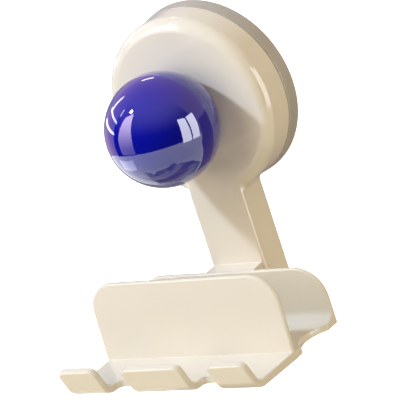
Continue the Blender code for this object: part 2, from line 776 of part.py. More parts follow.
cream_abs = new_material("cream_abs", (0.80, 0.74, 0.63), 0.38)
pad_rubber = new_material("translucent_grey_tpu", (0.50, 0.46, 0.40), 0.45)
blue_lacquer = new_material("blue_lacquer", (0.010, 0.012, 0.35), 0.06, 0.85)
inner_abs = new_material("inner_abs", (0.72, 0.70, 0.66), 0.5)
black_nylon = new_material("black_nylon", (0.03, 0.03, 0.03), 0.5)
white_acetal = new_material("white_acetal", (0.85, 0.85, 0.83), 0.35)
zinc_steel = new_material("zinc_plated_steel", (0.62, 0.62, 0.60), 0.3, 1.0)
brass = new_material("brass", (0.80, 0.58, 0.25), 0.3, 1.0)

make_shelf_body(shelf, cutters, disc_axis, cream_abs)
make_pad(shelf, disc_axis, pad_rubber)
make_pressure_ring(shelf, cutters, disc_axis, inner_abs)
make_ring_screws(shelf, disc_axis, zinc_steel)
make_collar(shelf, cutters, stem_axis, black_nylon)
make_stud(shelf, stem_axis, zinc_steel)
make_washer(shelf, disc_axis, white_acetal)
make_rear_shell(shelf, cutters, knob_axis, blue_lacquer)
make_front_shell(shelf, knob_axis, blue_lacquer)
make_nut(shelf, cutters, knob_axis, brass)
make_retainer(shelf, cutters, knob_axis, inner_abs)
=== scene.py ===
"""Looks of the suction cup wall shelf: a twist-lock mount, an arm and a hooked tray.

The wall is the plane Y = 0, the shelf stands out of it towards -Y, and +Z is up. "Out" is a
distance in front of the wall, so a point that is 20 mm out has Y = -0.020.
"""
import json
import math

import bmesh
import bpy
from mathutils import Matrix, Vector


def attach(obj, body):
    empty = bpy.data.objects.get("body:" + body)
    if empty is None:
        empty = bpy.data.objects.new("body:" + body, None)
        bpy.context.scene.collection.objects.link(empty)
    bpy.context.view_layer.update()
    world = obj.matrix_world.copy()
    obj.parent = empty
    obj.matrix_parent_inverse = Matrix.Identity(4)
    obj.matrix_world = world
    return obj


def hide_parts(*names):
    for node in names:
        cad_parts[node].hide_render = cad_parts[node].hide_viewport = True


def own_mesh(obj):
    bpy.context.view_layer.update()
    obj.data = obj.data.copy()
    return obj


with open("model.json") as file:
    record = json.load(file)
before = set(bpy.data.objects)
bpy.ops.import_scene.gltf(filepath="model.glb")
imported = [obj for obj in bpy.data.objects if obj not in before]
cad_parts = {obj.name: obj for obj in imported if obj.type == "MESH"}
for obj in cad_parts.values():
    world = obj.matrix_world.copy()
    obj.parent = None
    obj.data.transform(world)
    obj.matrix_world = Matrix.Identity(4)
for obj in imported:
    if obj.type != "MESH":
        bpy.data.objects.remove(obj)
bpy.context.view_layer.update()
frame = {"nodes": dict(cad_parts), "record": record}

# Shelf moulding, cover and arm: one cream ABS moulding with the tray. The cover is a shallow drum
# with a broad round shoulder, which narrows into the fine edge of the arm where the two meet.
# It is drawn as one ring of points that goes from the back rim to the front face.
MM = 0.001
COVER_RADIUS = 38.6 * MM
COVER_BACK = 6.5 * MM
COVER_FRONT = 21.1 * MM
SHOULDER = 5.3 * MM
ARM_HALF = 13.1 * MM
ARM_EDGE = 1.3 * MM
ARM_BOTTOM = -93.0 * MM
JOINT_FILLET = 3.2 * MM
CORNER_X = 10.9 * MM
SHOULDER_STEPS = 10
ARM_ROWS = 13
JOINT_STEPS = 16
COVER_STEPS = 72


def select_only(piece):
    """Select one piece and nothing else, as by hand before a tool is used."""
    bpy.ops.object.select_all(action="DESELECT")
    piece.select_set(True)
    bpy.context.view_layer.objects.active = piece


def put_in_scene(name, mesh):
    """Make a mesh the only selected object, with its origin at the scene's origin."""
    piece = bpy.data.objects.new(name, mesh)
    bpy.context.scene.collection.objects.link(piece)
    select_only(piece)
    return piece


def arc(centre, radius, start, end, steps):
    """Points on an arc between two angles in degrees."""
    points = []
    for step in range(steps + 1):
        angle = math.radians(start + (end - start) * step / steps)
        points.append((centre[0] + radius * math.cos(angle), centre[1] + radius * math.sin(angle)))
    return points


def ease(share):
    """A smooth step from 0 to 1."""
    return share * share * (3 - 2 * share)


def cover_and_arm_rim():
    """Right half of the outline as (side point, front point, height of the rounding)."""
    face_radius = COVER_RADIUS - SHOULDER
    reach = COVER_RADIUS + JOINT_FILLET
    fillet_x = ARM_HALF + JOINT_FILLET
    fillet_z = -math.sqrt(reach**2 - fillet_x**2)
    joint = math.degrees(math.atan2(fillet_z, fillet_x))
    corner = (CORNER_X, -math.sqrt(face_radius**2 - CORNER_X**2))
    corner_angle = math.degrees(math.atan2(corner[1], corner[0]))
    rim = []
    for row in range(ARM_ROWS):
        z = ARM_BOTTOM + (fillet_z - ARM_BOTTOM) * row / ARM_ROWS
        rim.append(((ARM_HALF, z), (ARM_HALF - ARM_EDGE, z), ARM_EDGE))
    side = arc((fillet_x, fillet_z), JOINT_FILLET, 180, 180 + joint, JOINT_STEPS)
    half = len(side) // 2
    edge_start = (ARM_HALF - ARM_EDGE, fillet_z)
    for step, point in enumerate(side[:-1]):
        if step <= half:
            share = step / half
            front = tuple(a + (b - a) * share for a, b in zip(edge_start, corner))
        else:
            angle = math.radians(corner_angle + (joint - corner_angle) * (step - half) / half)
            front = (face_radius * math.cos(angle), face_radius * math.sin(angle))
        height = ARM_EDGE + (SHOULDER - ARM_EDGE) * ease(step / (len(side) - 1))
        rim.append((point, front, height))
    outer = arc((0, 0), COVER_RADIUS, joint, 90, COVER_STEPS)
    inner = arc((0, 0), face_radius, joint, 90, COVER_STEPS)
    rim += [(point, front, SHOULDER) for point, front in zip(outer, inner)]
    return rim


def make_cover_and_arm():
    """Rings of points from the back rim over the shoulder to the front face, skinned."""
    right = cover_and_arm_rim()
    left = [((-a[0], a[1]), (-b[0], b[1]), height) for a, b, height in reversed(right[:-1])]
    rim = right + left
    rings = [[(side[0], -COVER_BACK, side[1]) for side, front, height in rim]]
    for step in range(SHOULDER_STEPS + 1):
        turn = math.pi / 2 * step / SHOULDER_STEPS
        ring = []
        for side, front, height in rim:
            inward = 1 - math.cos(turn)
            x = side[0] + (front[0] - side[0]) * inward
            z = side[1] + (front[1] - side[1]) * inward
            ring.append((x, -(COVER_FRONT - height * (1 - math.sin(turn))), z))
        rings.append(ring)
    shape = bmesh.new()
    loops = [[shape.verts.new(place) for place in ring] for ring in rings]
    count = len(rim)
    for low, high in zip(loops, loops[1:]):
        for index in range(count):
            after = (index + 1) % count
            shape.faces.new((low[index], low[after], high[after], high[index]))
    shape.faces.new(loops[0][::-1])
    shape.faces.new(loops[-1])
    bmesh.ops.recalc_face_normals(shape, faces=shape.faces)
    mesh = bpy.data.meshes.new("shelf_moulding")
    shape.to_mesh(mesh)
    shape.free()
    return put_in_scene("shelf_moulding", mesh)


moulding = make_cover_and_arm()

# Shelf moulding, tray: floor, two walls and the hook strip, drawn in side view and pulled out to
# the tray's width. Walls' tops and hooks' corners are rounded, and every edge has a small radius.
# A ledge joins it to the arm. The back is hollow, with bosses for the screws and the stud's hub.
TRAY_HALF = 46.35 * MM
TRAY_BACK = 29.65 * MM
WALL = 2.3 * MM
FLOOR_TOP = -89.3 * MM
FLOOR_BOTTOM = -93.2 * MM
BACK_WALL_TOP = -67.7 * MM
FRONT_WALL_TOP = -56.2 * MM
FRONT_WALL_FACE = 63.6 * MM
FRONT_WALL_SETBACK = 1.6 * MM
BACK_CORNER = 13.5 * MM
FRONT_CORNER = 12.5 * MM
STRIP = 3.2 * MM
BEND_CENTRE = 85.4 * MM
BEND = 4.8 * MM
LIP_LEAN = 22.4
LIP = 9.4 * MM
LIP_CORNER = 3.0 * MM
OUTER_LIP = 18.3 * MM
HOOK_GAP = 13.7 * MM
HOOK_GAP_END = 82.0 * MM
HOOK_GAP_CORNER = 2.4 * MM
NOTCH_RADIUS = 13.2 * MM
NOTCH_DEPTH = 4.8 * MM
NOTCH_CENTRE = 47.2 * MM
NOTCH_CUT = 12 * MM
SLOT_FLOOR = -90.2 * MM
SLOT_FILLET = 4.2 * MM
EDGE_RADIUS = 0.75 * MM
ROOT_FILLET = 0.35 * MM
LEDGE_HALF = 11.9 * MM
LEDGE_FILLET = 0.5 * MM
LEDGE_TOP = -68.7 * MM
LEDGE_EDGE = 0.4 * MM
HOLLOW_WALL = 2.2 * MM
CAVITY_FRONT = 18.9 * MM
HUB_RADIUS = 15.0 * MM
HUB_BACK = 16.9 * MM
SCREW_CIRCLE = 25.0 * MM
SCREW_TURNS = (45, 135, 225, 315)
SCREW_BOSS = 3.3 * MM
SCREW_BOSS_BACK = 14.8 * MM
SCREW_HOLE = 1.6 * MM
SCREW_HOLE_END = 19.5 * MM
RECESS_RADIUS = 12.5 * MM
RECESS_FLOOR = 19.4 * MM
STUD_HOLE = 3.5 * MM
CORNER_STEPS = 20
BEND_STEPS = 12
SMALL_STEPS = 8
SHARP_ANGLE = 40
CLEAR = 1.0 * MM
HAIR = 0.02 * MM
TOLERANCE = 0.01 * MM
CREAM = "e7dfce"
CREAM_WARM = "e4dac8"
CREAM_DRIFT = 38 * MM
CREAM_POLISH = 6 * MM
CREAM_SKIN = 0.5 * MM


def apply_modifier(piece, kind, **settings):
    """Add one modifier to a piece and apply it."""
    select_only(piece)
    step = piece.modifiers.new(kind.lower(), kind)
    for name, value in settings.items():
        setattr(step, name, value)
    bpy.ops.object.modifier_apply(modifier=step.name)


def cut_or_join(piece, tool, operation):
    """Apply a boolean with another piece, which is then thrown away."""
    apply_modifier(piece, "BOOLEAN", object=tool, operation=operation, solver="EXACT")
    bpy.data.objects.remove(tool, do_unlink=True)


def smooth(piece, degrees):
    """Shade round faces smooth, and keep flats flat beside their rounded edges."""
    select_only(piece)
    bpy.ops.object.shade_smooth_by_angle(angle=math.radians(degrees))
    apply_modifier(piece, "WEIGHTED_NORMAL", keep_sharp=True, weight=80)


def pulled_out(name, outline, start, end):
    """A side view of (out, height) points, extruded across the width."""
    mesh = bpy.data.meshes.new(name)
    mesh.from_pydata([(start, -out, z) for out, z in outline], [], [range(len(outline))])
    piece = put_in_scene(name, mesh)
    bpy.ops.object.mode_set(mode="EDIT")
    bpy.ops.mesh.select_all(action="SELECT")
    bpy.ops.mesh.extrude_region_move(TRANSFORM_OT_translate={"value": (end - start, 0, 0)})
    bpy.ops.mesh.select_all(action="SELECT")
    bpy.ops.mesh.normals_make_consistent(inside=False)
    bpy.ops.object.mode_set(mode="OBJECT")
    return piece


def bevel_edges(piece, chosen, width, segments):
    """Bevel the edges whose two ends pass a test."""
    select_only(piece)
    bpy.ops.object.mode_set(mode="EDIT")
    bpy.ops.mesh.select_mode(type="EDGE")
    bpy.ops.mesh.select_all(action="DESELECT")
    bpy.ops.object.mode_set(mode="OBJECT")
    points = piece.data.vertices
    for edge in piece.data.edges:
        edge.select = chosen(points[edge.vertices[0]].co, points[edge.vertices[1]].co)
    bpy.ops.object.mode_set(mode="EDIT")
    bpy.ops.mesh.bevel(offset=width, segments=segments, affect="EDGES", clamp_overlap=True)
    bpy.ops.object.mode_set(mode="OBJECT")


def close(a, b):
    """Whether two places along an axis are the same, but for rounding errors."""
    return abs(a - b) < TOLERANCE


def fillet(before, corner, after, radius, steps=3):
    """Points on the arc that rounds a corner of a side view."""
    here = Vector(corner)
    to_before = (Vector(before) - here).normalized()
    to_after = (Vector(after) - here).normalized()
    half = to_before.angle(to_after) / 2
    centre = here + (to_before + to_after).normalized() * radius / math.sin(half)
    start = here + to_before * radius / math.tan(half) - centre
    turn = start.angle_signed(here + to_after * radius / math.tan(half) - centre)
    points = []
    for step in range(steps + 1):
        angle = -turn * step / steps
        spun = (
            start.x * math.cos(angle) - start.y * math.sin(angle),
            start.x * math.sin(angle) + start.y * math.cos(angle),
        )
        points.append((centre.x + spun[0], centre.y + spun[1]))
    return points


def tray_side_view():
    """Back wall, slot, front wall and hook strip as one outline of (out, height) points."""
    lean = math.radians(LIP_LEAN)
    centre = (BEND_CENTRE, FLOOR_TOP + BEND)
    inner = arc(centre, BEND, -90, -LIP_LEAN, BEND_STEPS)
    outer = arc(centre, BEND + STRIP, -LIP_LEAN, -90, BEND_STEPS)
    along = (math.sin(lean) * LIP, math.cos(lean) * LIP)
    inner_tip = (inner[-1][0] + along[0], inner[-1][1] + along[1])
    outer_tip = (outer[0][0] + along[0], outer[0][1] + along[1])
    back_top = (TRAY_BACK + WALL, BACK_WALL_TOP)
    back_root = (TRAY_BACK + WALL, SLOT_FLOOR)
    slot_root = (FRONT_WALL_FACE - WALL, SLOT_FLOOR)
    slot_top = (FRONT_WALL_FACE - WALL - FRONT_WALL_SETBACK, FRONT_WALL_TOP)
    face_top = (FRONT_WALL_FACE - FRONT_WALL_SETBACK, FRONT_WALL_TOP)
    face_root = (FRONT_WALL_FACE, FLOOR_TOP)
    return [
        (TRAY_BACK, BACK_WALL_TOP),
        back_top,
        *fillet(back_top, back_root, slot_root, SLOT_FILLET, SMALL_STEPS),
        *fillet(back_root, slot_root, slot_top, ROOT_FILLET),
        slot_top,
        face_top,
        *fillet(face_top, face_root, inner[0], ROOT_FILLET),
        *inner,
        inner_tip,
        outer_tip,
        *outer,
        (FRONT_WALL_FACE, FLOOR_BOTTOM),
        (TRAY_BACK, FLOOR_BOTTOM),
    ]


def across_a_wall_top(top):
    """Test for the short edges at the two upper corners of a wall."""

    def chosen(a, b):
        at_end = close(abs(a.x), TRAY_HALF) and close(a.x, b.x)
        return at_end and close(a.z, top) and close(b.z, top)

    return chosen


def cut_hook_gaps(tray):
    """U-shaped gaps through the strip, the bend and the lips."""
    beyond = BEND_CENTRE + BEND + STRIP + LIP
    middle = TRAY_HALF - OUTER_LIP - HOOK_GAP / 2
    for side in (-1, 1):
        bpy.ops.object.select_all(action="DESELECT")
        bpy.ops.mesh.primitive_cube_add(
            size=1, location=(side * middle, -(HOOK_GAP_END + beyond) / 2, FLOOR_TOP)
        )
        tool = bpy.context.object
        tool.scale = (HOOK_GAP, beyond - HOOK_GAP_END, 6 * LIP)
        bpy.ops.object.transform_apply(location=True, rotation=False, scale=True)
        bevel_edges(
            tool,
            lambda a, b: close(a.y, -HOOK_GAP_END) and close(b.y, a.y) and not close(a.z, b.z),
            HOOK_GAP_CORNER,
            SMALL_STEPS,
        )
        cut_or_join(tray, tool, "DIFFERENCE")


def cut_floor_notches(tray):
    """Shallow round notches through the floor's two ends."""
    for side in (-1, 1):
        bpy.ops.object.select_all(action="DESELECT")
        bpy.ops.mesh.primitive_cylinder_add(
            vertices=64,
            radius=NOTCH_RADIUS,
            depth=NOTCH_CUT,
            location=(
                side * (TRAY_HALF + NOTCH_RADIUS - NOTCH_DEPTH),
                -NOTCH_CENTRE,
                FLOOR_BOTTOM - CLEAR,
            ),
        )
        tool = bpy.context.object
        bpy.ops.object.transform_apply(location=True, rotation=True, scale=True)
        cut_or_join(tray, tool, "DIFFERENCE")


def lip_tip_corner(a, b):
    """Test for the short edges across a lip's thickness, at its upper corners."""
    high = min(a.z, b.z) > FLOOR_TOP + BEND + LIP / 2
    return high and close(a.x, b.x) and min(-a.y, -b.y) > BEND_CENTRE


def round_edges(piece, width, segments):
    """Give every sharp edge of a piece a small radius."""
    apply_modifier(
        piece,
        "BEVEL",
        width=width,
        segments=segments,
        limit_method="ANGLE",
        angle_limit=math.radians(SHARP_ANGLE),
        use_clamp_overlap=False,
        miter_outer="MITER_ARC",
    )


def make_ledge():
    """Bridge from the arm's front to the tray's back wall, a little lower than the wall."""
    back = COVER_BACK + HOLLOW_WALL
    inside_arm = COVER_FRONT - CLEAR
    above = (COVER_FRONT - HAIR, LEDGE_TOP + 2 * LEDGE_FILLET)
    corner = (COVER_FRONT - HAIR, LEDGE_TOP)
    level = (TRAY_BACK + WALL / 2, LEDGE_TOP)
    bend = fillet(level, corner, above, LEDGE_FILLET, 4)
    outline = [
        (back, FLOOR_BOTTOM),
        (TRAY_BACK + WALL / 2, FLOOR_BOTTOM),
        level,
        *bend,
        (inside_arm, bend[-1][1]),
        (inside_arm, LEDGE_TOP),
        (back, LEDGE_TOP),
    ]
    ledge = pulled_out("ledge", outline, -LEDGE_HALF, LEDGE_HALF)
    bevel_edges(
        ledge,
        lambda a, b: close(a.z, LEDGE_TOP) and close(b.z, LEDGE_TOP) and close(a.x, b.x),
        LEDGE_EDGE,
        3,
    )
    return ledge


def make_tray():
    """The tray with its corners, gaps, lips and notches, and the ledge joined on."""
    tray = pulled_out("tray", tray_side_view(), -TRAY_HALF, TRAY_HALF)
    bevel_edges(tray, across_a_wall_top(BACK_WALL_TOP), BACK_CORNER, CORNER_STEPS)
    bevel_edges(tray, across_a_wall_top(FRONT_WALL_TOP), FRONT_CORNER, CORNER_STEPS)
    cut_hook_gaps(tray)
    bevel_edges(tray, lip_tip_corner, LIP_CORNER, SMALL_STEPS)
    cut_floor_notches(tray)
    round_edges(tray, EDGE_RADIUS, 4)
    cut_or_join(tray, make_ledge(), "UNION")
    return tray


cut_or_join(moulding, make_tray(), "UNION")


def rod(radius, back, front, place=(0, 0), vertices=64):
    """A round bar along the disc's axis, between two distances out from the wall."""
    bpy.ops.object.select_all(action="DESELECT")
    bpy.ops.mesh.primitive_cylinder_add(
        vertices=vertices,
        radius=radius,
        depth=front - back,
        location=(place[0], -(back + front) / 2, place[1]),
        rotation=(math.pi / 2, 0, 0),
    )
    bpy.ops.object.transform_apply(location=True, rotation=True, scale=True)
    return bpy.context.object


def hollow_out(piece):
    """Open back of the cover, the arm and the ledge."""
    drum = rod(COVER_RADIUS - HOLLOW_WALL, 0, CAVITY_FRONT, vertices=160)
    cut_or_join(piece, drum, "DIFFERENCE")
    inside = ARM_HALF - HOLLOW_WALL
    top = -COVER_RADIUS - HOLLOW_WALL / 2
    channel = [
        (0, FLOOR_BOTTOM + HOLLOW_WALL),
        (TRAY_BACK, FLOOR_BOTTOM + HOLLOW_WALL),
        (TRAY_BACK, LEDGE_TOP - HOLLOW_WALL),
        (CAVITY_FRONT, LEDGE_TOP - HOLLOW_WALL),
        (CAVITY_FRONT, top),
        (0, top),
    ]
    cut_or_join(piece, pulled_out("channel", channel, -inside, inside), "DIFFERENCE")


def add_bosses(piece):
    """Hub and screw bosses in the hollow, and the recess that the knob's washer turns in."""
    root = CAVITY_FRONT + CLEAR / 2
    beyond = COVER_FRONT + CLEAR
    cut_or_join(piece, rod(HUB_RADIUS, HUB_BACK, root, vertices=96), "UNION")
    for turn in SCREW_TURNS:
        angle = math.radians(turn)
        place = (SCREW_CIRCLE * math.cos(angle), SCREW_CIRCLE * math.sin(angle))
        cut_or_join(piece, rod(SCREW_BOSS, SCREW_BOSS_BACK, root, place, vertices=32), "UNION")
        cut_or_join(piece, rod(SCREW_HOLE, 0, SCREW_HOLE_END, place, vertices=24), "DIFFERENCE")
    cut_or_join(piece, rod(RECESS_RADIUS, RECESS_FLOOR, beyond, vertices=96), "DIFFERENCE")
    cut_or_join(piece, rod(STUD_HOLE, 0, beyond, vertices=48), "DIFFERENCE")


hollow_out(moulding)
add_bosses(moulding)
smooth(moulding, 35)


def linear(hex_colour):
    """An sRGB hex colour as linear red, green, blue and alpha."""
    channels = []
    for place in (0, 2, 4):
        value = int(hex_colour[place : place + 2], 16) / 255
        channels.append(value / 12.92 if value <= 0.04045 else ((value + 0.055) / 1.055) ** 2.4)
    return (*channels, 1.0)


def add_node(tree, kind, settings=None, inputs=None, links=None):
    """Add a shader node, with its settings, its socket values and what feeds its sockets."""
    node = tree.nodes.new(kind)
    for name, value in (settings or {}).items():
        setattr(node, name, value)
    for name, value in (inputs or {}).items():
        node.inputs[name].default_value = value
    for name, source in (links or {}).items():
        tree.links.new(source, node.inputs[name])
    return node


def start_material(name):
    """A new material, its nodes, its shader and the piece's own coordinates for patterns."""
    made = bpy.data.materials.new(name)
    made.use_nodes = True
    tree = made.node_tree
    place = add_node(tree, "ShaderNodeTexCoord").outputs["Object"]
    return made, tree, tree.nodes["Principled BSDF"], place


def cream_abs():
    """Cream moulded ABS: a gloss from a polished tool, with a faint waviness.

    Its shade drifts over 38 mm and its polish over 6 mm. The skin's grain is drawn at 0.5 mm,
    coarser than the real 0.1 mm, so that it shows.
    """
    made, tree, shader, place = start_material("cream_moulded_abs")
    shade = add_node(
        tree,
        "ShaderNodeTexNoise",
        inputs={"Scale": 1 / CREAM_DRIFT, "Detail": 2.0, "Roughness": 0.5},
        links={"Vector": place},
    )
    colour = add_node(
        tree,
        "ShaderNodeMix",
        settings={"data_type": "RGBA"},
        links={0: shade.outputs["Fac"]},
    )
    colour.inputs[6].default_value = linear(CREAM)
    colour.inputs[7].default_value = linear(CREAM_WARM)
    tree.links.new(colour.outputs[2], shader.inputs["Base Color"])
    polish = add_node(
        tree,
        "ShaderNodeTexNoise",
        inputs={"Scale": 1 / CREAM_POLISH, "Detail": 3.0},
        links={"Vector": place},
    )
    rough = add_node(
        tree,
        "ShaderNodeMapRange",
        inputs={"To Min": 0.10, "To Max": 0.14},
        links={"Value": polish.outputs["Fac"]},
    )
    tree.links.new(rough.outputs["Result"], shader.inputs["Roughness"])
    skin = add_node(
        tree,
        "ShaderNodeTexNoise",
        inputs={"Scale": 1 / CREAM_SKIN, "Detail": 2.0},
        links={"Vector": place},
    )
    bump = add_node(
        tree,
        "ShaderNodeBump",
        inputs={"Strength": 0.12, "Distance": 0.02 * MM},
        links={"Height": skin.outputs["Fac"]},
    )
    tree.links.new(bump.outputs["Normal"], shader.inputs["Normal"])
    shader.inputs["IOR"].default_value = 1.53
    return made


moulding.data.materials.clear()
moulding.data.materials.append(cream_abs())
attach(moulding, "shelf")
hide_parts("shelf_body")

# Suction pad: a soft translucent grey disc. Its band shows behind the cover, the membrane is
# drawn off the wall in a dish, and its socket grips the collar of the stem.
PAD_RADIUS = 39.3 * MM
PAD_TOP_RADIUS = 38.8 * MM
PAD_BAND = 6.2 * MM
PAD_LIP = 0.8 * MM
SEAL_INNER = 31.3 * MM
RIM_INNER = 30.2 * MM
MEMBRANE = 1.8 * MM
DRAW = 3.0 * MM
SOCKET = 12.0 * MM
SOCKET_FRONT = 9.6 * MM
POCKET = 8.8 * MM
MOUTH = 7.2 * MM
PAD_ROUND = 0.7 * MM
PAD_STEPS = 160
SEAL_GAP = 0.4 * MM
MEMBRANE_STEPS = 12
SOCKET_ROUND = 0.3 * MM
SIDE_SHARE = 0.45
DOUBLES = 0.002 * MM
MOUTH_DEPTH = 1.2 * MM
PAD_GREY = "b0aa9f"
TPU_DEPTH = 2.5 * MM
TPU_BLOOM = 4 * MM


def turned(name, profile, steps):
    """Spin a closed profile of (radius, out) round the disc's axis."""
    mesh = bpy.data.meshes.new(name)
    edges = [(index, (index + 1) % len(profile)) for index in range(len(profile))]
    mesh.from_pydata([(radius, -out, 0) for radius, out in profile], edges, [])
    piece = put_in_scene(name, mesh)
    bpy.ops.object.mode_set(mode="EDIT")
    bpy.ops.mesh.select_all(action="SELECT")
    bpy.ops.mesh.spin(
        steps=steps, angle=2 * math.pi, center=(0, 0, 0), axis=(0, 1, 0), use_auto_merge=True
    )
    bpy.ops.mesh.select_all(action="SELECT")
    bpy.ops.mesh.remove_doubles(threshold=DOUBLES)
    bpy.ops.mesh.normals_make_consistent(inside=False)
    bpy.ops.object.mode_set(mode="OBJECT")
    return piece


def rounded(points, radius, steps=5):
    """A closed profile whose every corner is rounded as far as its sides allow."""
    result = []
    count = len(points)
    for index, point in enumerate(points):
        here = Vector(point)
        before = Vector(points[index - 1]) - here
        after = Vector(points[(index + 1) % count]) - here
        if here.x < TOLERANCE:
            result.append(tuple(here))
            continue
        turn = before.angle(after)
        sides = min(before.length * SIDE_SHARE, after.length * SIDE_SHARE)
        reach = min(radius / math.tan(turn / 2), sides)
        start = here + before.normalized() * reach
        end = here + after.normalized() * reach
        for step in range(steps + 1):
            share = step / steps
            result.append(
                tuple(start * (1 - share) ** 2 + here * 2 * share * (1 - share) + end * share**2)
            )
    return result


def make_pad_band():
    """The stiff edge of the pad, with its flat sealing ring."""
    profile = [
        (PAD_RADIUS, 0),
        (PAD_RADIUS, PAD_LIP),
        (PAD_TOP_RADIUS, PAD_BAND),
        (RIM_INNER, PAD_BAND),
        (RIM_INNER, MEMBRANE),
        (SEAL_INNER, 0),
    ]
    band = turned("pad_band", rounded(profile, PAD_ROUND), PAD_STEPS)
    smooth(band, 35)
    return band


def make_pad_membrane():
    """The part of the pad that flattens: from the sealing ring to the socket."""
    back = []
    front = []
    outer = SEAL_INNER - SEAL_GAP
    for step in range(MEMBRANE_STEPS + 1):
        share = step / MEMBRANE_STEPS
        radius = outer - (outer - SOCKET) * share
        dish = DRAW * ease(share)
        back.append((radius, dish))
        front.append((radius, dish + MEMBRANE))
    membrane = turned("pad_membrane", front + back[::-1], PAD_STEPS)
    smooth(membrane, 35)
    return membrane


def make_pad_socket():
    """The cup in the pad's middle that the collar snaps into."""
    side = SOCKET - SOCKET_ROUND
    profile = [
        (0, DRAW),
        (side, DRAW),
        (side, SOCKET_FRONT),
        (MOUTH, SOCKET_FRONT),
        (MOUTH, SOCKET_FRONT - MOUTH_DEPTH),
        (POCKET, SOCKET_FRONT - MOUTH_DEPTH),
        (POCKET, DRAW + MEMBRANE),
        (0, DRAW + MEMBRANE),
    ]
    socket = turned("pad_socket", rounded(profile, SOCKET_ROUND), 96)
    smooth(socket, 35)
    return socket


def grey_tpu():
    """Translucent grey TPU: soft, light passes a few millimetres into it, skin a little dull."""
    made, tree, shader, place = start_material("translucent_grey_tpu")
    shader.inputs["Base Color"].default_value = linear(PAD_GREY)
    shader.inputs["IOR"].default_value = 1.5
    shader.inputs["Subsurface Weight"].default_value = 0.35
    shader.inputs["Subsurface Radius"].default_value = (1.0, 0.9, 0.75)
    shader.inputs["Subsurface Scale"].default_value = TPU_DEPTH
    bloom = add_node(
        tree,
        "ShaderNodeTexNoise",
        inputs={"Scale": 1 / TPU_BLOOM, "Detail": 4.0},
        links={"Vector": place},
    )
    rough = add_node(
        tree,
        "ShaderNodeMapRange",
        inputs={"To Min": 0.28, "To Max": 0.42},
        links={"Value": bloom.outputs["Fac"]},
    )
    tree.links.new(rough.outputs["Result"], shader.inputs["Roughness"])
    return made


pad_material = grey_tpu()
pad_band = make_pad_band()
pad_membrane = make_pad_membrane()
pad_socket = make_pad_socket()
for piece in (pad_band, pad_membrane, pad_socket):
    piece.data.materials.append(pad_material)
    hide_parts("suction_pad")
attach(pad_band, "shelf")
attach(pad_membrane, "shelf")
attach(pad_socket, "stem")
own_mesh(pad_membrane)

# Ball knob: two ABS shells closed by a deep blue lacquer under a hard, bright clear coat, so the
# line between them doesn't show. Its back is flat and turns on the washer in the cover.
BALL_RADIUS = 23.5 * MM
BALL_CENTRE = 39.8 * MM
BALL_BACK = 21.4 * MM
KNOB_BORE_END = 38.5 * MM
NUT_POCKET = 6.0 * MM
NUT_SEAT = 27.5 * MM
NUT_POCKET_END = 35.5 * MM
BALL_EDGE = 0.5 * MM
BALL_BLUE = "040c96"
ORANGE_PEEL = 3 * MM


def make_ball():
    """A sphere cut flat at the back, with the stud's bore and the pocket of the nut."""
    bpy.ops.object.select_all(action="DESELECT")
    bpy.ops.mesh.primitive_uv_sphere_add(
        segments=128,
        ring_count=96,
        radius=BALL_RADIUS,
        location=(0, -BALL_CENTRE, 0),
        rotation=(math.pi / 2, 0, 0),
    )
    ball = bpy.context.object
    ball.name = "knob_ball"
    bpy.ops.object.transform_apply(location=True, rotation=True, scale=True)
    bpy.ops.object.mode_set(mode="EDIT")
    bpy.ops.mesh.select_all(action="SELECT")
    bpy.ops.mesh.bisect(
        plane_co=(0, -BALL_BACK, 0), plane_no=(0, 1, 0), use_fill=True, clear_outer=True
    )
    bpy.ops.object.mode_set(mode="OBJECT")
    bevel_edges(
        ball, lambda a, b: close(-a.y, BALL_BACK) and close(-b.y, BALL_BACK), BALL_EDGE, 4
    )
    bore = rod(STUD_HOLE, BALL_BACK - CLEAR, KNOB_BORE_END, vertices=48)
    cut_or_join(ball, bore, "DIFFERENCE")
    pocket = rod(NUT_POCKET, NUT_SEAT, NUT_POCKET_END, vertices=48)
    cut_or_join(ball, pocket, "DIFFERENCE")
    return ball


def blue_lacquer():
    """Blue gloss lacquer: deep colour under a mirror-bright, very hard clear coat.

    Sprayed lacquer dries with a faint orange peel, a few millimetres from crest to crest.
    """
    made, tree, shader, place = start_material("blue_gloss_lacquer")
    shader.inputs["Base Color"].default_value = linear(BALL_BLUE)
    shader.inputs["IOR"].default_value = 1.5
    shader.inputs["Coat Weight"].default_value = 1.0
    shader.inputs["Coat Roughness"].default_value = 0.02
    shader.inputs["Coat IOR"].default_value = 1.5
    peel = add_node(
        tree,
        "ShaderNodeTexNoise",
        inputs={"Scale": 1 / ORANGE_PEEL, "Detail": 2.0},
        links={"Vector": place},
    )
    rough = add_node(
        tree,
        "ShaderNodeMapRange",
        inputs={"To Min": 0.04, "To Max": 0.07},
        links={"Value": peel.outputs["Fac"]},
    )
    tree.links.new(rough.outputs["Result"], shader.inputs["Roughness"])
    bump = add_node(
        tree,
        "ShaderNodeBump",
        inputs={"Strength": 0.05, "Distance": 0.02 * MM},
        links={"Height": peel.outputs["Fac"]},
    )
    tree.links.new(bump.outputs["Normal"], shader.inputs["Normal"])
    return made


ball = make_ball()
ball.data.materials.append(blue_lacquer())
smooth(ball, 30)
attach(ball, "knob")
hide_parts("knob_rear_shell", "knob_front_shell")


